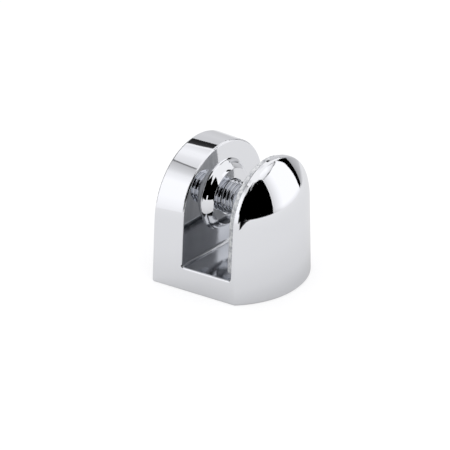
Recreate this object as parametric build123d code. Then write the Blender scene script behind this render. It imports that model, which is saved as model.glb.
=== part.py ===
from build123d import *
from math import acos, asin, atan2, cos, hypot, radians, sin, tan
import os

# A clamp for the edge of a glass panel. All sizes are in millimetres.
# The clamp stands on its flat underside: X across, Y from the nose to the back, Z up.

# Clamp body, one polished die casting
# Its sides lean in from the foot to the arch, and taper from the back face to the crease
body_height = 31.1
base_thickness = 5.7
back_arm_thickness = 7.8
slot_width = 12.85
front_lip_thickness = 1.4
nose_bulge = 5.5
back_arch_radius = 15.6
back_foot_width = 32.8
front_arch_radius = 13.3
front_foot_width = 28.4
slot_corner_radius = 0.7
crease_fillet = 0.8
outer_edge_chamfer = 0.4
slot_edge_chamfer = 0.25

# Threaded hole in the underside, for the screw that fixes the clamp
fixing_hole_radius = 2.5
fixing_hole_roof = 1.2
fixing_hole_chamfer = 0.4

# Threaded bush, pressed through the back arm up to its round collar
# The collar's flat face runs into a convex bead, and the bead into a hollow flare at its foot
collar_face_radius = 6.6
bead_width = 1.0
bead_height = 1.15
bead_slope = 42.0
flare_width = 0.85
flare_height = 1.15
flare_slope = 76.0
bush_shank_radius = 5.2
bush_recess = 0.3
bush_chamfer = 0.3

# Clamp screw, a fine-threaded grub screw that runs through the bush
screw_radius = 3.95
screw_length = 14.0
screw_reach = 6.9
screw_chamfer = 0.5
hex_socket_width = 4.0
hex_socket_depth = 4.0
hex_socket_chamfer = 0.25

# Thrust tip that turns in the nose of the screw
tip_radius = 3.0
tip_thickness = 0.5
tip_edge_chamfer = 0.15
tip_stem_radius = 1.5
tip_stem_length = 2.4

# Soft gasket on the inside of the front arm
gasket_thickness = 1.25
gasket_inset = 0.4
gasket_lift = 1.0
gasket_corner_radius = 1.3
gasket_edge_chamfer = 0.25

# Clearances between pieces, and how far a cutting shape runs past what it cuts
thread_clearance = 0.05
stem_clearance = 0.03
stem_end_clearance = 0.1
overrun = 5.0


def lean_angle(radius, half_foot, rise):
    # lean of a straight side that runs up from the foot and meets a circle tangentially
    return acos(radius / hypot(half_foot, rise)) - atan2(rise, half_foot)


# The nose: a ball over a column that flares a little to the foot.
# It meets the sides in one upright crease, and its seam meets the top of the straight sides there.
nose_radius = (front_arch_radius**2 + nose_bulge**2) / (2 * nose_bulge)
nose_centre_z = body_height - front_arch_radius
crease_lean = lean_angle(front_arch_radius, front_foot_width / 2, nose_centre_z)
nose_lean = asin(front_arch_radius * sin(crease_lean) / nose_radius)
nose_foot_radius = nose_radius / cos(nose_lean) + nose_centre_z * tan(nose_lean)

# Places along Y, with the middle of the depth at zero
arms_depth = back_arm_thickness + slot_width + front_lip_thickness
body_depth = arms_depth + nose_bulge + nose_foot_radius - nose_radius
back_y = body_depth / 2
slot_back_y = back_y - back_arm_thickness
slot_front_y = slot_back_y - slot_width
slot_middle_y = (slot_back_y + slot_front_y) / 2
crease_y = slot_front_y - front_lip_thickness
nose_centre_y = crease_y - nose_bulge + nose_radius
screw_nose_y = slot_back_y - screw_reach
screw_end_y = screw_nose_y + screw_length

# The screw's axis runs along Y, half way up the back arm
axis_z = (base_thickness + body_height) / 2
screw_axis = Axis((0, 0, axis_z), (0, 1, 0))
bush_bore_radius = screw_radius + thread_clearance


def upright_plane(y):
    # local x is across, local y is up, and the normal points to the nose
    return Plane.XZ.offset(-y)


def arm_outline(y, below=0, inset=0):
    # an arch over two leaning sides, carried on below the foot, and drawn in all round by the inset
    share = (back_y - y) / (back_y - crease_y)
    radius = back_arch_radius + share * (front_arch_radius - back_arch_radius)
    half_foot = (back_foot_width + share * (front_foot_width - back_foot_width)) / 2
    centre_z = body_height - radius
    lean = lean_angle(radius, half_foot, centre_z)
    radius -= inset
    half_foot -= inset / cos(lean)
    spring_x = radius * cos(lean)
    spring_z = centre_z + radius * sin(lean)
    corner_x = half_foot + below * tan(lean)
    arch = ThreePointArc((spring_x, spring_z), (0, centre_z + radius), (-spring_x, spring_z))
    rest = Polyline((-spring_x, spring_z), (-corner_x, -below), (corner_x, -below), (spring_x, spring_z))
    return make_face(arch + rest)


def turned(profile):
    # a profile drawn as radius and Y, turned about the screw's axis
    return revolve(Plane.XY.offset(axis_z) * make_face(profile), screw_axis)


def edges_in_plane(shape, y, slack):
    # edges that rise in one plane across the clamp
    found = []
    for edge in shape.edges():
        box = edge.bounding_box()
        in_plane = abs(box.min.Y - y) < slack and abs(box.max.Y - y) < slack
        if in_plane and box.max.Z > base_thickness:
            found.append(edge)
    return found


# Clamp body


def tapered_blank():
    past_nose_y = crease_y - nose_bulge - overrun
    back = upright_plane(back_y) * arm_outline(back_y, below=overrun)
    front = upright_plane(past_nose_y) * arm_outline(past_nose_y, below=overrun)
    blank = loft([back, front], ruled=True)
    return split(blank, Plane.XY, keep=Keep.TOP)


def nose_form():
    spring_r = nose_radius * cos(nose_lean)
    spring_z = nose_centre_z + nose_radius * sin(nose_lean)
    top_z = nose_centre_z + nose_radius
    foot_r = nose_foot_radius + overrun * tan(nose_lean)
    ball = TangentArc((0, top_z), (spring_r, spring_z), tangent=(1, 0))
    rest = Polyline((spring_r, spring_z), (foot_r, -overrun), (0, -overrun), (0, top_z))
    form = revolve(Plane.XZ * make_face(ball + rest), Axis.Z)
    return Pos(0, nose_centre_y, 0) * form


def nose_cutter():
    # what lies outside the nose, in front of the middle of the slot
    span = 2 * back_foot_width
    block = Box(span, span, span, align=(Align.CENTER, Align.MAX, Align.CENTER))
    return Pos(0, slot_middle_y, 0) * block - nose_form()


def glass_slot():
    tool = Box(2 * back_foot_width, slot_width, body_height, align=(Align.CENTER, Align.MAX, Align.MIN))
    tool = Pos(0, slot_back_y, base_thickness) * tool
    return fillet(tool.edges().filter_by(Axis.X).group_by(Axis.Z)[0], slot_corner_radius)


def slot_rim(shape):
    # the edges where the slot meets the outside: up the arms, over them and along the floor
    found = []
    for edge in shape.edges():
        box = edge.bounding_box()
        in_slot = box.min.Y > slot_front_y - 0.01 and box.max.Y < slot_back_y + 0.01
        above_floor = box.min.Z > base_thickness - 0.01
        crosses_floor = box.size.X > front_arch_radius and box.size.Z < 0.01
        if in_slot and above_floor and not crosses_floor:
            found.append(edge)
    return found


def bush_hole():
    mouth = bush_shank_radius + bush_chamfer
    profile = Polyline(
        (0, slot_back_y - overrun),
        (bush_shank_radius, slot_back_y - overrun),
        (bush_shank_radius, back_y - bush_chamfer),
        (mouth, back_y),
        (mouth, back_y + overrun),
        (0, back_y + overrun),
        (0, slot_back_y - overrun),
    )
    return turned(profile)


def fixing_hole():
    depth = base_thickness - fixing_hole_roof
    mouth_radius = fixing_hole_radius + fixing_hole_chamfer
    bottom = (Align.CENTER, Align.CENTER, Align.MIN)
    bore = Cylinder(fixing_hole_radius, depth, align=bottom)
    mouth = Cone(mouth_radius, fixing_hole_radius, fixing_hole_chamfer, align=bottom)
    return Pos(0, slot_middle_y, 0) * (bore + mouth)


def clamp_body():
    shape = tapered_blank() - nose_cutter()
    shape = fillet(edges_in_plane(shape, crease_y, nose_bulge / 2), crease_fillet)
    foot_edges = shape.faces().sort_by(Axis.Z)[0].edges()
    shape = chamfer(edges_in_plane(shape, back_y, 0.01) + foot_edges, outer_edge_chamfer)
    shape = shape - glass_slot()
    shape = chamfer(slot_rim(shape), slot_edge_chamfer)
    return shape - bush_hole() - fixing_hole()


# Threaded bush, its collar flat on the back arm's inner face


def slope_direction(degrees):
    # along radius and Y, at an angle to the radius
    return cos(radians(degrees)), sin(radians(degrees))


def thread_bush():
    face_y = slot_back_y - bead_height - flare_height
    end_y = back_y - bush_recess
    bore_mouth = bush_bore_radius + bush_chamfer

    # both curves of the collar leave their start at the named slopes to the flat face
    bead_end = (collar_face_radius + bead_width, face_y + bead_height)
    foot_r = collar_face_radius + bead_width + flare_width
    bead = TangentArc((collar_face_radius, face_y), bead_end, tangent=slope_direction(bead_slope))
    flare = TangentArc(bead_end, (foot_r, slot_back_y), tangent=slope_direction(flare_slope))

    rest = Polyline(
        (foot_r, slot_back_y),
        (bush_shank_radius, slot_back_y),
        (bush_shank_radius, end_y - bush_chamfer),
        (bush_shank_radius - bush_chamfer, end_y),
        (bore_mouth, end_y),
        (bush_bore_radius, end_y - bush_chamfer),
        (bush_bore_radius, face_y + bush_chamfer),
        (bore_mouth, face_y),
        (collar_face_radius, face_y),
    )
    return turned(bead + flare + rest)


# Clamp screw


def hex_socket():
    # a six-sided socket in the outer end, with a small countersink
    end_plane = Plane(origin=(0, screw_end_y, axis_z), x_dir=(1, 0, 0), z_dir=(0, -1, 0))
    hexagon = RegularPolygon(hex_socket_width / 2, 6, major_radius=False)
    socket = extrude(end_plane * hexagon, hex_socket_depth)
    mouth_radius = hex_socket_width / 3**0.5 + hex_socket_chamfer
    countersink = Polyline(
        (0, screw_end_y - mouth_radius),
        (mouth_radius, screw_end_y),
        (0, screw_end_y),
        (0, screw_end_y - mouth_radius),
    )
    return socket + turned(countersink)


def stem_bore():
    radius = tip_stem_radius + stem_clearance
    end_y = screw_nose_y + tip_stem_length + stem_end_clearance
    bore = Polyline(
        (0, screw_nose_y - overrun),
        (radius, screw_nose_y - overrun),
        (radius, end_y),
        (0, end_y),
        (0, screw_nose_y - overrun),
    )
    return turned(bore)


def clamp_screw():
    rod = Polyline(
        (0, screw_nose_y),
        (screw_radius - screw_chamfer, screw_nose_y),
        (screw_radius, screw_nose_y + screw_chamfer),
        (screw_radius, screw_end_y - screw_chamfer),
        (screw_radius - screw_chamfer, screw_end_y),
        (0, screw_end_y),
        (0, screw_nose_y),
    )
    return turned(rod) - hex_socket() - stem_bore()


# Thrust tip: a flat disc on a stem


def swivel_tip():
    face_y = screw_nose_y - tip_thickness
    profile = Polyline(
        (0, face_y),
        (tip_radius - tip_edge_chamfer, face_y),
        (tip_radius, face_y + tip_edge_chamfer),
        (tip_radius, screw_nose_y),
        (tip_stem_radius, screw_nose_y),
        (tip_stem_radius, screw_nose_y + tip_stem_length),
        (0, screw_nose_y + tip_stem_length),
        (0, face_y),
    )
    return turned(profile)


# Soft gasket: the front arm's outline, a little smaller, stopping short of the slot's floor


def front_gasket():
    outline = arm_outline(slot_front_y, inset=gasket_inset)
    foot_z = base_thickness + gasket_lift
    below = Rectangle(2 * front_foot_width, body_height, align=(Align.CENTER, Align.MAX))
    profile = outline - Pos(0, foot_z) * below
    profile = fillet(profile.vertices().group_by(Axis.Y)[0], gasket_corner_radius)
    slab = extrude(upright_plane(slot_front_y) * profile, -gasket_thickness)
    return chamfer(slab.faces().sort_by(Axis.Y)[-1].edges(), gasket_edge_chamfer)


os.makedirs("parts", exist_ok=True)
for make_piece in (clamp_body, thread_bush, clamp_screw, swivel_tip, front_gasket):
    export_step(make_piece(), f"parts/{make_piece.__name__}.step")
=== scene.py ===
import bpy
import bmesh
from math import ceil, cos, pi, radians, sin, sqrt, tan
from mathutils import Matrix, Vector


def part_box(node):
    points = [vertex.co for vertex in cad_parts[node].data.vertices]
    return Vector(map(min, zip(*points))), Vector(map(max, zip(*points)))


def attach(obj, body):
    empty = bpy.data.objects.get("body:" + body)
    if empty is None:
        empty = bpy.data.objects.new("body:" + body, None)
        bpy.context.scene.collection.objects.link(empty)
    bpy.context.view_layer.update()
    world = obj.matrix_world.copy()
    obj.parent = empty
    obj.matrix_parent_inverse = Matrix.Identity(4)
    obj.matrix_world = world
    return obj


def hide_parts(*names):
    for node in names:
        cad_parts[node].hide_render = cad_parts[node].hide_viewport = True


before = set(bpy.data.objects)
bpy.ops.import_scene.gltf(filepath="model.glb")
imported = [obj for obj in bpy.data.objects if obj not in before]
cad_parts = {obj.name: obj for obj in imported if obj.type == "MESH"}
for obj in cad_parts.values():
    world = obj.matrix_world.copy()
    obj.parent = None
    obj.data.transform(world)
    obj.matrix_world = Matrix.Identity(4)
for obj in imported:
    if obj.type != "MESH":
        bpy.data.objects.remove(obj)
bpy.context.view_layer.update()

mm = 0.001
print("solids loaded:", ", ".join(sorted(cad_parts)))


# colours are written as sRGB hex and turned to linear here
def toLinear(hexColour):
    channels = [int(hexColour[i:i + 2], 16) / 255 for i in (1, 3, 5)]
    return [c / 12.92 if c <= 0.04045 else ((c + 0.055) / 1.055) ** 2.4 for c in channels] + [1]


# adds one node; a setting is an attribute of the node or a value of an input, and a link is (node, output)
def addNode(tree, kind, settings={}, links={}):
    node = tree.nodes.new(kind)
    for name, value in settings.items():
        if isinstance(name, str) and hasattr(node, name):
            setattr(node, name, value)
        else:
            node.inputs[name].default_value = value
    for name, (source, output) in links.items():
        tree.links.new(source.outputs[output], node.inputs[name])
    return node


def newMaterial(name):
    material = bpy.data.materials.new(name)
    material.use_nodes = True
    material.node_tree.nodes.clear()
    return material, material.node_tree


# each stop is a place from 0 to 1 with a grey value or a colour
def addRamp(tree, source, output, stops):
    ramp = addNode(tree, "ShaderNodeValToRGB", {}, {"Fac": (source, output)})
    elements = ramp.color_ramp.elements
    while len(elements) < len(stops):
        elements.new(0.5)
    for element, (place, value) in zip(elements, stops):
        element.position = place
        element.color = (value, value, value, 1) if isinstance(value, (int, float)) else value
    return ramp


def newObject(name, data):
    made = bpy.data.objects.new(name, data)
    bpy.context.scene.collection.objects.link(made)
    return made


# a detailed piece that stands for one of the solids
def newPiece(name, mesh, material, body, node):
    piece = newObject(name, mesh)
    mesh.materials.append(material)
    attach(piece, body)
    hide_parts(node)


# camera

camera = {
    "azimuth": 52.3165,  # degrees round from the nose to the left
    "elevation": 26.408,
    "roll": 0.5975,
    "distance": 600.0,  # mm
    "lookAt": (-2.795, 3.659, 12.267),  # mm, the point in the middle of the picture
    "widthThere": 102.04,  # mm of width in view at that point
    "sensorWidth": 36,  # mm
    "nearest": 20,  # mm, nothing nearer or further is drawn
    "furthest": 20000,
}


def setCamera():
    around, up, roll = (radians(camera[k]) for k in ("azimuth", "elevation", "roll"))
    back = Vector((-sin(around) * cos(up), -cos(around) * cos(up), sin(up)))
    right = Vector((cos(around), -sin(around), 0))
    above = back.cross(right)
    sideways = right * cos(roll) + above * sin(roll)
    upwards = above * cos(roll) - right * sin(roll)
    data = bpy.data.cameras.new("camera")
    data.sensor_width = camera["sensorWidth"]
    data.lens = camera["sensorWidth"] * camera["distance"] / camera["widthThere"]
    data.clip_start = camera["nearest"] * mm
    data.clip_end = camera["furthest"] * mm
    shooter = newObject("camera", data)
    place = (Vector(camera["lookAt"]) + camera["distance"] * back) * mm
    turn = Matrix((sideways, upwards, back)).transposed().to_4x4()
    shooter.matrix_world = Matrix.Translation(place) @ turn
    bpy.context.scene.camera = shooter


setCamera()
print("camera set")


# studio: a pale sheet, soft light from all round, and cards that the chrome mirrors

studio = {
    "sheetSize": 6000,  # mm
    "sheetColour": "#9A9A9B",  # the part of the sheet's white that takes shadow
    "sheetGlow": 0.69,  # the rest of it, so that the sheet comes out white
    # what mirrors see of that rest, as mm from the middle of the clamp and strength; it is weaker near the
    # clamp, which is painted shade
    "sheetInMirror": [(16, 0.28), (24, 0.37), (40, 0.42), (100, 0.45), (170, 0.5)],
    "skyColour": "#FCFCFD",
    "skyStrength": 1.0,
    "backdropColour": "#FFFFFF",  # what the camera sees behind the object
    # the colour of the painted dark patch below
    "darkPatchColour": "#050505",
}

# painted dark patch that lies on the sheet in front of the black card, seen only by mirrors, and shows low on
# the nose
darkPatch = {
    "corners": [(-37, -42), (-47, -68), (-57, -100), (-57, -128), (-101, -122), (-66, -76)],  # mm
    "height": 0.3,
}

lamp = {
    "place": (-150, -100, 500),  # mm
    "aimHeight": 15,
    "size": 400,
    "power": 0.6,  # watts
}

cardRing = {
    "radius": 150.0,  # mm from the middle of the clamp
    "nearer": 0.2,  # mm that each card stands nearer than the one before, which it hides where they overlap
    "stripWidth": 2,  # degrees
    "top": 270,  # mm up that the ramps reach
    "colour": "#FDFDFF",
}

# a card's corners are degrees round the ring and mm up; its brightness is a strength by mm up
# times a strength by degrees round, and one that isn't given is 1
cards = {
    # the large black on the nose
    "blackCard": {
        "byHeight": [(0, 0)],
        "corners": [
            (-131, 0), (-128, 20), (-125, 40), (-120, 66), (-111, 105),
            (-99, 126), (-86, 136), (-81, 130), (-80, 124), (-80, 0),
        ],
    },
    # the black on the bush's bead, in the thread and along the back arm's inner edge
    "blackLeft": {
        "byHeight": [(0, 0)],
        "corners": [
            (-174, 0), (-174, 42), (-192, 44), (-192, 150), (-174, 170), (-168, 200), (-165, 250),
            (-112, 250), (-110, 104), (-119, 66), (-127, 20), (-130, 0),
        ],
    },
    # the dark line down the back arm's outer edge
    "blackBehind": {
        "byHeight": [(0, 0.02)],
        "corners": [
            (61, 0), (61, 140), (72, 182), (84, 198), (96, 198), (108, 180), (119, 140), (124, 100), (124, 0),
        ],
    },
    # the white on the dome
    "softboxRight": {
        "byHeight": [(0, 0.8), (6, 0.92), (12, 1.0)],
        "byAngle": [(-80, 0.66), (-76, 0.84), (-73, 0.9), (-70, 0.97), (-67, 1.04), (-62, 1.12)],
        "corners": [
            (-79, 0), (-79, 124), (-64, 130), (-48, 127), (-36, 115), (-30, 107),
            (-27, 94), (-25, 80), (-25, 17), (-24, 3), (-24, 0),
        ],
    },
    # the thin dark line on the dome's crest
    "softboxRim": {
        "byHeight": [(0, 0.04)],
        "corners": [
            (-79, 124), (-80, 125.5), (-64, 131.6), (-48, 128.6), (-35, 117),
            (-30, 109), (-30, 107), (-36, 115), (-48, 127), (-64, 130),
        ],
    },
    # the white between that line and the lip
    "softboxAbove": {
        "byHeight": [(126, 0.7), (132, 0.88), (140, 1.02), (150, 1.12)],
        "corners": [
            (-80, 125.5), (-80, 200), (-58, 200), (-57, 178), (-54, 166),
            (-50, 153), (-44, 142), (-36, 118), (-48, 128.6), (-64, 131.6),
        ],
    },
    # the soft grey on the right of the dome and the nose, and on top of the back arm
    "greyWall": {
        "byHeight": [(7, 1.3), (11, 1.0), (30, 0.95), (80, 1.05), (110, 1.0)],
        "byAngle": [(-18, 0.4), (-13, 0.46), (-8, 0.54), (0, 0.62), (15, 0.66), (45, 0.68), (60, 0.62)],
        "corners": [
            (-18, 0), (-18, 45), (-17, 60), (-17, 74), (-22, 92), (0, 110), (44, 132), (60, 148), (60, 0),
        ],
    },
    # the black sickle between the white and the grey
    "blackGap": {
        "byHeight": [(0, 0)],
        "corners": [
            (-41, 134), (-28, 113), (-22, 101), (-16, 75), (-17, 60), (-19, 45), (-18, 20),
            (-18, 6), (-23, 3), (-25, 17), (-26.5, 80), (-29, 94), (-31, 104), (-41, 128),
        ],
    },
    # the small dark patch on the crest
    "lampArm": {
        "byHeight": [(0, 0)],
        "corners": [
            (-55, 178), (-52, 167), (-47, 153), (-42, 143), (-35, 127),
            (-33, 129), (-37, 145), (-40, 160), (-45, 176),
        ],
    },
    # the dark band across the back arm's rim
    "darkSlit": {
        "byHeight": [(0, 0.02), (150, 0.02), (172, 0.04), (184, 0.1)],
        "corners": [
            (-22, 100), (-20, 104), (0, 118), (42, 154), (57, 180), (66, 187), (60, 148), (44, 132), (0, 110),
        ],
    },
    # the graded light below that band on the rim
    "wallTop": {
        "byAngle": [(61, 0.86), (68, 0.93), (77, 1.02), (88, 1.0), (98, 0.9), (109, 0.84), (117, 0.8)],
        "corners": [(50, 185), (66, 196), (100, 216), (124, 216), (124, 262), (50, 262)],
    },
    # the thin line across the rim
    "seamAbove": {
        "byHeight": [(0, 0.22)],
        "corners": [(100, 209), (140, 206), (140, 212), (124, 216), (100, 216)],
    },
    # the white on the rest of the rim and on the lip, greyer towards the thin line
    "whiteWall": {
        "byHeight": [
            (0, 0.95), (20, 1.03), (48, 1.1), (112, 1.11), (130, 1.02),
            (150, 0.94), (171, 0.74), (193, 0.62), (210, 0.55),
        ],
        "corners": [
            (124, 0), (124, 100), (119, 140), (108, 180), (96, 198), (84, 198), (72, 182), (61, 140),
            (66, 186), (100, 210), (140, 206), (168, 184), (168, 44), (186, 42), (186, 0),
        ],
    },
}


def makeSheet():
    mesh = bpy.data.meshes.new("sheet")
    half = studio["sheetSize"] / 2 * mm
    mesh.from_pydata([(-half, -half, 0), (half, -half, 0), (half, half, 0), (-half, half, 0)], [],
                     [(0, 1, 2, 3)])
    sheet = newObject("sheet", mesh)
    material, tree = newMaterial("white_paper_sheet")
    path = addNode(tree, "ShaderNodeLightPath")
    mirrored = addNode(tree, "ShaderNodeMath", {"operation": "MAXIMUM"},
                       {0: (path, "Is Glossy Ray"), 1: (path, "Is Transmission Ray")})
    place = addNode(tree, "ShaderNodeTexCoord")
    # painted shade: mirrors see the sheet dimmer near the clamp
    away = addNode(tree, "ShaderNodeVectorMath", {"operation": "LENGTH"}, {0: (place, "Object")})
    reach = studio["sheetInMirror"][-1][0]
    share = addNode(tree, "ShaderNodeMath", {"operation": "DIVIDE", 1: reach * mm}, {0: (away, "Value")})
    inMirror = addRamp(tree, share, 0, [(far / reach, strength) for far, strength in studio["sheetInMirror"]])
    dimmed = addNode(tree, "ShaderNodeMath", {"operation": "MULTIPLY"}, {0: (mirrored, 0), 1: (inMirror, 0)})
    seen = addNode(tree, "ShaderNodeMath", {"operation": "MULTIPLY", 1: studio["sheetGlow"]},
                   {0: (path, "Is Camera Ray")})
    glow = addNode(tree, "ShaderNodeMath", {"operation": "ADD"}, {0: (dimmed, 0), 1: (seen, 0)})
    emit = addNode(tree, "ShaderNodeEmission", {"Color": toLinear("#FFFFFF")}, {"Strength": (glow, 0)})
    paper = addNode(tree, "ShaderNodeBsdfDiffuse", {"Color": toLinear(studio["sheetColour"])})
    both = addNode(tree, "ShaderNodeAddShader", {}, {0: (emit, 0), 1: (paper, 0)})
    addNode(tree, "ShaderNodeOutputMaterial", {}, {"Surface": (both, 0)})
    mesh.materials.append(material)


def showToMirrorsOnly(card):
    card.visible_camera = False
    card.visible_shadow = False
    card.visible_diffuse = False


def makeCard(name, card, nearer):
    r = cardRing["radius"] - nearer
    mesh = bpy.data.meshes.new(name)
    built = bmesh.new()
    built.faces.new([built.verts.new((radians(a) * r * mm, 0, h * mm)) for a, h in card["corners"]])
    bmesh.ops.triangulate(built, faces=built.faces[:])
    # cut into narrow upright strips while it is flat, so that it follows the ring when it is bent
    step = cardRing["stripWidth"]
    first, last = (ceil(pick(a for a, h in card["corners"]) / step) for pick in (min, max))
    for i in range(first, last):
        bmesh.ops.bisect_plane(built, geom=built.verts[:] + built.edges[:] + built.faces[:], dist=0.001 * mm,
                               plane_co=(radians(i * step) * r * mm, 0, 0), plane_no=(1, 0, 0))
    for vert in built.verts:
        a = vert.co.x / (r * mm)
        vert.co.x, vert.co.y = r * cos(a) * mm, r * sin(a) * mm
    built.to_mesh(mesh)
    built.free()
    stand = newObject(name, mesh)
    material, tree = newMaterial(name + "_surface")
    place = addNode(tree, "ShaderNodeTexCoord")
    split = addNode(tree, "ShaderNodeSeparateXYZ", {}, {"Vector": (place, "Object")})
    top = cardRing["top"]
    height = addNode(tree, "ShaderNodeMath", {"operation": "DIVIDE", 1: top * mm}, {0: (split, "Z")})
    angle = addNode(tree, "ShaderNodeMath", {"operation": "ARCTAN2"}, {0: (split, "Y"), 1: (split, "X")})
    turn = addNode(tree, "ShaderNodeMapRange", {"From Min": -pi, "From Max": pi}, {"Value": (angle, 0)})
    # a ramp holds colours up to 1, so each carries half its strength and the light makes up for both
    byHeight = card.get("byHeight", [(0, 1)])
    byAngle = card.get("byAngle", [(0, 1)])
    up = addRamp(tree, height, 0, [(h / top, v / 2) for h, v in byHeight + [(top, byHeight[-1][1])]])
    across = addRamp(tree, turn, 0, [((a + 180) / 360, v / 2) for a, v in byAngle + [(180, byAngle[-1][1])]])
    both = addNode(tree, "ShaderNodeMath", {"operation": "MULTIPLY"}, {0: (up, 0), 1: (across, 0)})
    strength = addNode(tree, "ShaderNodeMath", {"operation": "MULTIPLY", 1: 4.0}, {0: (both, 0)})
    emit = addNode(tree, "ShaderNodeEmission", {"Color": toLinear(cardRing["colour"])},
                   {"Strength": (strength, 0)})
    addNode(tree, "ShaderNodeOutputMaterial", {}, {"Surface": (emit, 0)})
    mesh.materials.append(material)
    showToMirrorsOnly(stand)


def layDarkPatch():
    # painted dark patch on the sheet, seen only by mirrors
    mesh = bpy.data.meshes.new("paintedDarkPatch")
    corners = [(x * mm, y * mm, darkPatch["height"] * mm) for x, y in darkPatch["corners"]]
    mesh.from_pydata(corners, [], [range(len(corners))])
    patchObject = newObject("paintedDarkPatch", mesh)
    material, tree = newMaterial("painted_dark_patch")
    matt = addNode(tree, "ShaderNodeBsdfDiffuse", {"Color": toLinear(studio["darkPatchColour"])})
    addNode(tree, "ShaderNodeOutputMaterial", {}, {"Surface": (matt, 0)})
    mesh.materials.append(material)
    showToMirrorsOnly(patchObject)


def setSky():
    world = bpy.data.worlds.new("studio")
    world.use_nodes = True
    tree = world.node_tree
    tree.nodes.clear()
    path = addNode(tree, "ShaderNodeLightPath")
    light = addNode(tree, "ShaderNodeBackground",
                    {"Color": toLinear(studio["skyColour"]), "Strength": studio["skyStrength"]})
    white = addNode(tree, "ShaderNodeBackground",
                    {"Color": toLinear(studio["backdropColour"]), "Strength": 1.0})
    mixed = addNode(tree, "ShaderNodeMixShader", {},
                    {0: (path, "Is Camera Ray"), 1: (light, 0), 2: (white, 0)})
    addNode(tree, "ShaderNodeOutputWorld", {}, {"Surface": (mixed, 0)})
    bpy.context.scene.world = world


def hangLamp():
    data = bpy.data.lights.new("lampAbove", "AREA")
    data.size = lamp["size"] * mm
    data.energy = lamp["power"]
    hung = newObject("lampAbove", data)
    spot = Vector(lamp["place"]) * mm
    hung.location = spot
    aim = Vector((0, 0, lamp["aimHeight"] * mm))
    hung.rotation_euler = (spot - aim).to_track_quat("Z", "Y").to_euler()
    # the chrome doesn't mirror the lamp, which is there for the soft pieces
    hung.visible_glossy = False


makeSheet()
for i, (name, card) in enumerate(cards.items()):
    makeCard(name, card, cardRing["nearer"] * i)
layDarkPatch()
setSky()
hangLamp()
bpy.context.scene.view_settings.view_transform = "Standard"
print("studio set")


# materials

polish = {
    "waveSize": 6.0,  # mm
    "waveDepth": 0.02,
    "waveStrength": 0.25,
    "smearSize": 2.5,
}
# the edge radius, in mm, is what the plating rounds off
casting = {"colour": "#F2F3F6", "roughness": 0.02, "haze": 0.03, "edgeRadius": 0.4}
bush = {"colour": "#F0F1F4", "roughness": 0.03, "haze": 0.03, "edgeRadius": 0.04}
screwBlank = {"colour": "#CBCDD2", "roughness": 0.05, "haze": 0.06, "edgeRadius": 0.05}
slotDullingAndShade = {
    "middle": -0.132,  # mm, of the slot's width
    "width": 12.88,
    "floor": 5.6,
    "top": 15.0,  # from where down the polish fades
    # painted shade: the colour the slot darkens to at its floor
    "colour": "#CACCD0",
    "dullness": 0.08,
}


# bright plate: a cool, almost perfect mirror, with a faint waviness left by the buffing wheel
# and a breath of haze
def platedMetal(name, finish):
    material, tree = newMaterial(name)
    place = addNode(tree, "ShaderNodeTexCoord")
    waves = addNode(tree, "ShaderNodeTexNoise", {"Scale": 1 / (polish["waveSize"] * mm), "Detail": 1.0},
                    {"Vector": (place, "Object")})
    smears = addNode(tree, "ShaderNodeTexNoise", {"Scale": 1 / (polish["smearSize"] * mm), "Detail": 4.0},
                     {"Vector": (place, "Object")})
    rough = addNode(tree, "ShaderNodeMapRange",
                    {"From Min": 0.35, "From Max": 0.75, "To Min": finish["roughness"],
                     "To Max": finish["roughness"] + finish["haze"]}, {"Value": (smears, "Fac")})
    bump = addNode(tree, "ShaderNodeBump",
                   {"Strength": polish["waveStrength"], "Distance": polish["waveDepth"] * mm},
                   {"Height": (waves, "Fac")})
    edges = addNode(tree, "ShaderNodeBevel", {"samples": 6, "Radius": finish["edgeRadius"] * mm},
                    {"Normal": (bump, 0)})
    plate = addNode(tree, "ShaderNodeBsdfPrincipled",
                    {"Base Color": toLinear(finish["colour"]), "Metallic": 1.0},
                    {"Roughness": (rough, 0), "Normal": (edges, 0)})
    addNode(tree, "ShaderNodeOutputMaterial", {}, {"Surface": (plate, 0)})
    return material


# the wheel doesn't reach deep into the slot, which gets duller towards its floor; its colour also darkens
# towards the floor, which is painted shade
def dullAndShadeInSlot(material, finish):
    tree = material.node_tree
    plate = next(node for node in tree.nodes if node.type == "BSDF_PRINCIPLED")
    rough = plate.inputs["Roughness"].links[0].from_node
    place = addNode(tree, "ShaderNodeTexCoord")
    split = addNode(tree, "ShaderNodeSeparateXYZ", {}, {"Vector": (place, "Object")})
    between = addNode(tree, "ShaderNodeMath",
                      {"operation": "COMPARE", 1: slotDullingAndShade["middle"] * mm, 2: slotDullingAndShade["width"] / 2 * mm},
                      {0: (split, "Y")})
    above = addNode(tree, "ShaderNodeMath", {"operation": "GREATER_THAN", 1: slotDullingAndShade["floor"] * mm},
                    {0: (split, "Z")})
    low = addNode(tree, "ShaderNodeMapRange",
                  {"From Min": slotDullingAndShade["top"] * mm, "From Max": slotDullingAndShade["floor"] * mm},
                  {"Value": (split, "Z")})
    inSlot = addNode(tree, "ShaderNodeMath", {"operation": "MULTIPLY"}, {0: (between, 0), 1: (above, 0)})
    deepInSlotShare = addNode(tree, "ShaderNodeMath", {"operation": "MULTIPLY"}, {0: (inSlot, 0), 1: (low, 0)})
    # painted shade: the plate's colour darkens towards the slot's floor
    tint = addNode(tree, "ShaderNodeMix",
                   {"data_type": "RGBA", 6: toLinear(finish["colour"]), 7: toLinear(slotDullingAndShade["colour"])},
                   {0: (deepInSlotShare, 0)})
    dull = addNode(tree, "ShaderNodeMath", {"operation": "MULTIPLY_ADD", 1: slotDullingAndShade["dullness"]},
                   {0: (deepInSlotShare, 0), 2: (rough, 0)})
    tree.links.new(tint.outputs[2], plate.inputs["Base Color"])
    tree.links.new(dull.outputs[0], plate.inputs["Roughness"])


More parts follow.
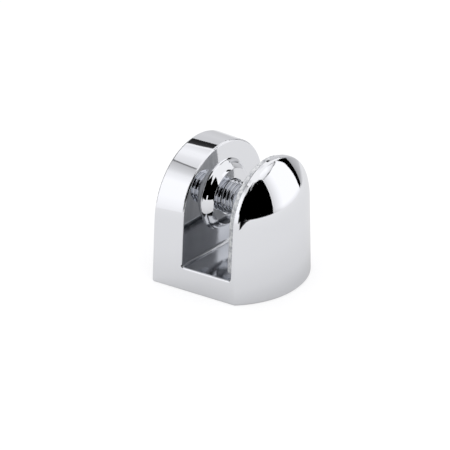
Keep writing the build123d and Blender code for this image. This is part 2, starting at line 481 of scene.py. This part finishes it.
vinyl = {
    "cutTints": ("#B4B7BC", "#F6F7F8"),
    "faceTints": ("#D6D8DB", "#F0F1F3"),
    "faceRoughness": 0.2,
    "cutRoughness": 0.5,
    "faceClearness": 0.4,
    "cutClearness": 0.2,
    "ior": 1.53,
    "cloudSize": 0.7,  # mm
    "streakSize": 1.6,
    "streakStretch": 0.08,  # the streaks' share of the usual change with height
    "cutDepth": 0.12,
}


# soft clear vinyl sheet gone milky, die cut: smooth faces with faint upright streaks from the roller,
# and a rough cut edge that shows mottled grey
def clearVinylSheet():
    material, tree = newMaterial("clear_soft_vinyl")
    place = addNode(tree, "ShaderNodeTexCoord")
    facing = addNode(tree, "ShaderNodeSeparateXYZ", {}, {"Vector": (place, "Normal")})
    level = addNode(tree, "ShaderNodeMath", {"operation": "ABSOLUTE"}, {0: (facing, "Y")})
    edge = addNode(tree, "ShaderNodeMapRange", {"From Min": 0.95, "From Max": 0.5}, {"Value": (level, 0)})
    cloud = addNode(tree, "ShaderNodeTexNoise", {"Scale": 1 / (vinyl["cloudSize"] * mm), "Detail": 3.0},
                    {"Vector": (place, "Object")})
    stretched = addNode(tree, "ShaderNodeMapping", {"Scale": (1, 1, vinyl["streakStretch"])},
                        {"Vector": (place, "Object")})
    streak = addNode(tree, "ShaderNodeTexNoise", {"Scale": 1 / (vinyl["streakSize"] * mm), "Detail": 2.0},
                     {"Vector": (stretched, 0)})
    cutTint, faceTint = (
        addRamp(tree, source, "Fac", [(0.35, toLinear(dark)), (0.65, toLinear(light))])
        for source, (dark, light) in ((cloud, vinyl["cutTints"]), (streak, vinyl["faceTints"]))
    )
    tint = addNode(tree, "ShaderNodeMix", {"data_type": "RGBA"},
                   {0: (edge, 0), 6: (faceTint, 0), 7: (cutTint, 0)})
    rough = addNode(tree, "ShaderNodeMapRange",
                    {"From Min": 0.0, "From Max": 1.0, "To Min": vinyl["faceRoughness"],
                     "To Max": vinyl["cutRoughness"]}, {"Value": (edge, 0)})
    clear = addNode(tree, "ShaderNodeMapRange",
                    {"From Min": 0.0, "From Max": 1.0, "To Min": vinyl["faceClearness"],
                     "To Max": vinyl["cutClearness"]}, {"Value": (edge, 0)})
    bump = addNode(tree, "ShaderNodeBump", {"Distance": vinyl["cutDepth"] * mm},
                   {"Height": (cloud, "Fac"), "Strength": (edge, 0)})
    sheet = addNode(tree, "ShaderNodeBsdfPrincipled", {"IOR": vinyl["ior"]},
                    {"Base Color": (tint, 2), "Roughness": (rough, 0), "Normal": (bump, 0),
                     "Transmission Weight": (clear, 0)})
    addNode(tree, "ShaderNodeOutputMaterial", {}, {"Surface": (sheet, 0)})
    return material


polyamide = {
    "tints": ("#DAD9D2", "#ECEBE5"),
    "roughness": 0.42,
    "ior": 1.53,
    "grainSize": 0.25,  # mm
    "grainDepth": 0.02,
    "grainStrength": 0.3,
    "lightDepth": 0.5,  # mm that light goes in
    "lightShare": 0.2,
}


# moulded polyamide: waxy off-white with a fine grain and light that goes a little way in
def mouldedPolyamide():
    material, tree = newMaterial("white_moulded_polyamide")
    place = addNode(tree, "ShaderNodeTexCoord")
    grain = addNode(tree, "ShaderNodeTexNoise", {"Scale": 1 / (polyamide["grainSize"] * mm), "Detail": 2.0},
                    {"Vector": (place, "Object")})
    dark, light = polyamide["tints"]
    tint = addRamp(tree, grain, "Fac", [(0.3, toLinear(dark)), (0.7, toLinear(light))])
    bump = addNode(tree, "ShaderNodeBump",
                   {"Strength": polyamide["grainStrength"], "Distance": polyamide["grainDepth"] * mm},
                   {"Height": (grain, "Fac")})
    plastic = addNode(tree, "ShaderNodeBsdfPrincipled",
                      {"Roughness": polyamide["roughness"], "IOR": polyamide["ior"],
                       "Subsurface Weight": polyamide["lightShare"],
                       "Subsurface Scale": polyamide["lightDepth"] * mm},
                      {"Base Color": (tint, 0), "Normal": (bump, 0)})
    addNode(tree, "ShaderNodeOutputMaterial", {}, {"Surface": (plastic, 0)})
    return material


chromedCasting = platedMetal("chrome_plated_zinc_casting", casting)
dullAndShadeInSlot(chromedCasting, casting)
chromedBush = platedMetal("chrome_plated_turned_steel", bush)
platedScrew = platedMetal("nickel_plated_rolled_steel", screwBlank)
clearVinyl = clearVinylSheet()
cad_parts["clamp_body"].data.materials[0] = chromedCasting
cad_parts["thread_bush"].data.materials[0] = chromedBush
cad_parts["swivel_tip"].data.materials[0] = mouldedPolyamide()
print("materials made")


# clamp screw with its real thread, in place of the plain rod

screw = {
    "majorRadius": 3.95,  # mm, crest
    "pitch": 1.0,
    "threadDepth": 0.6,
    "crestFlat": 0.12,
    "rootFlat": 0.2,
    "rounding": 0.01,  # more at the middle of the crest and of the root
    "flankSteps": (0.06, 0.2, 0.4, 0.6, 0.8, 0.94),  # shares of a flank, the outer two ease its corners
    "endChamfer": 0.5,
    "endSink": 0.03,  # what lies past an end is folded in this far below the root
    "stepsRound": 144,
    "socketWidth": 4.0,
    "socketDepth": 4.0,
    "socketPoint": 0.6,  # the drill's cone below it
    "socketMouth": 0.25,
    "stemRadius": 1.53,
    "stemDepth": 2.5,
    "smallestRadius": 0.02,  # each hole's floor ends in a face of this radius
    "weldWithin": 0.004,
    "sliverBelow": 0.003,
    "sharpAbove": 35,  # degrees
}


def makeScrew():
    low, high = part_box("clamp_screw")
    axisZ = (low.z + high.z) / 2 / mm
    start, end = low.y / mm, high.y / mm
    outer, depth, pitch, around = (screw[k] for k in ("majorRadius", "threadDepth", "pitch", "stepsRound"))
    crest, root, rounding = (screw[k] for k in ("crestFlat", "rootFlat", "rounding"))
    flank = (pitch - crest - root) / 2
    folded = outer - depth - screw["endSink"]
    # one pitch of the thread as places along it and depths below the crest
    falling = [(crest + flank * t, depth * t) for t in screw["flankSteps"]]
    rising = [(pitch - flank * t, depth * t) for t in reversed(screw["flankSteps"])]
    shape = [(crest / 2, -rounding)] + falling + [(pitch - flank - root / 2, depth + rounding)] + rising
    # three turns more at each end than the screw is long
    turns = range(int(start) - 3, int(end) + 3)
    rows = [(turn * pitch + along, below) for turn in turns for along, below in shape]
    built = bmesh.new()

    def addRing(placeOf):
        ring = []
        for i in range(around):
            a = 2 * pi * i / around
            r, y = placeOf(i, a)
            ring.append(built.verts.new((r * sin(a) * mm, y * mm, (axisZ + r * cos(a)) * mm)))
        return ring

    def threadPoint(along, below):
        def at(i, a):
            y = along + pitch * i / around
            inside = min(max(y, start), end)
            if y != inside:
                return folded, inside
            return min(outer - below, outer - screw["endChamfer"] + min(y - start, end - y)), y
        return at

    def joinRings(first, second):
        for i in range(around):
            j = (i + 1) % around
            built.faces.new((first[i], first[j], second[j], second[i]))

    rings = [addRing(threadPoint(along, below)) for along, below in rows]
    turnRows = len(shape)
    for k in range(len(rings) - 1):
        for i in range(around - 1):
            built.faces.new((rings[k][i], rings[k][i + 1], rings[k + 1][i + 1], rings[k + 1][i]))
    # the last column meets the first one a whole pitch further on
    for k in range(len(rings) - 1 - turnRows):
        built.faces.new((rings[k][-1], rings[k + turnRows][0], rings[k + turnRows + 1][0], rings[k + 1][-1]))

    def hexRadius(a):
        return screw["socketWidth"] / 2 / cos((a + pi / 6) % (pi / 3) - pi / 6)

    mouth = screw["socketWidth"] / sqrt(3) + screw["socketMouth"]
    socketFloor = end - screw["socketDepth"]
    stemFloor = start + screw["stemDepth"]
    inEnd = [
        lambda i, a: (folded, end),
        lambda i, a: (mouth, end),
        lambda i, a: (hexRadius(a), end - mouth + hexRadius(a)),
        lambda i, a: (hexRadius(a), socketFloor),
        lambda i, a: (screw["smallestRadius"], socketFloor - screw["socketPoint"]),
    ]
    inNose = [
        lambda i, a: (folded, start),
        lambda i, a: (screw["stemRadius"], start),
        lambda i, a: (screw["stemRadius"], stemFloor),
        lambda i, a: (screw["smallestRadius"], stemFloor),
    ]
    for places in (inEnd, inNose):
        made = [addRing(placeOf) for placeOf in places]
        for first, second in zip(made, made[1:]):
            joinRings(first, second)
        built.faces.new(made[-1])
    bmesh.ops.remove_doubles(built, verts=built.verts[:], dist=screw["weldWithin"] * mm)
    bmesh.ops.dissolve_degenerate(built, edges=built.edges[:], dist=screw["sliverBelow"] * mm)
    bmesh.ops.recalc_face_normals(built, faces=built.faces[:])
    mesh = bpy.data.meshes.new("threaded_screw")
    built.to_mesh(mesh)
    built.free()
    mesh.shade_smooth()
    mesh.set_sharp_from_angle(angle=radians(screw["sharpAbove"]))
    newPiece("threaded_screw", mesh, platedScrew, "screw", "clamp_screw")


makeScrew()
print("screw made")


# clear gasket with soft edges, in place of the plain slab

gasket = {
    "archRadius": 13.046,  # mm
    "archCentre": 17.654,
    "lean": 2.85,  # degrees that the sides lean in
    "cornerRadius": 1.3,
    "softEdge": 0.4,
    "softEdgeSteps": (0.4, 0.8, 1.2, pi / 2),  # radians round that edge
    "backEdge": 0.08,
    "stepsOnArch": 90,
    "stepsOnCorner": 14,
    "sharpAbove": 40,  # degrees
}


def gasketOutline(inset, foot):
    # the right half from the top down, then mirrored
    lean = radians(gasket["lean"])
    r = gasket["archRadius"] - inset
    corner = gasket["cornerRadius"] - inset
    half = []
    for i in range(gasket["stepsOnArch"] + 1):
        a = pi / 2 - (pi / 2 - lean) * i / gasket["stepsOnArch"]
        half.append((r * cos(a), gasket["archCentre"] + r * sin(a)))
    # the corner's middle lies its own radius inside the leaning side and above the foot
    middleZ = foot + gasket["cornerRadius"]
    middleX = (gasket["archRadius"] - gasket["cornerRadius"]) / cos(lean)
    middleX += (gasket["archCentre"] - middleZ) * tan(lean)
    for i in range(gasket["stepsOnCorner"] + 1):
        a = lean - (pi / 2 + lean) * i / gasket["stepsOnCorner"]
        half.append((middleX + corner * cos(a), middleZ + corner * sin(a)))
    return half + [(-x, z) for x, z in reversed(half[1:])]


def makeGasket():
    low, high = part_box("front_gasket")
    foot, back, face = low.z / mm, low.y / mm, high.y / mm
    soft, eased = gasket["softEdge"], gasket["backEdge"]
    # how far the outline lies inside the solid's, and where it stands from back to front
    layers = [(eased, back), (0, back + eased), (0, face - soft)]
    layers += [(soft * (1 - cos(t)), face - soft * (1 - sin(t))) for t in gasket["softEdgeSteps"]]
    built = bmesh.new()
    rings = []
    for inset, y in layers:
        rings.append([built.verts.new((x * mm, y * mm, z * mm)) for x, z in gasketOutline(inset, foot)])
    count = len(rings[0])
    for first, second in zip(rings, rings[1:]):
        for i in range(count):
            j = (i + 1) % count
            built.faces.new((first[i], first[j], second[j], second[i]))
    built.faces.new(rings[0])
    built.faces.new(rings[-1])
    bmesh.ops.recalc_face_normals(built, faces=built.faces[:])
    mesh = bpy.data.meshes.new("clear_gasket")
    built.to_mesh(mesh)
    built.free()
    mesh.shade_smooth()
    mesh.set_sharp_from_angle(angle=radians(gasket["sharpAbove"]))
    newPiece("clear_gasket", mesh, clearVinyl, "body", "front_gasket")


makeGasket()
print("gasket made")
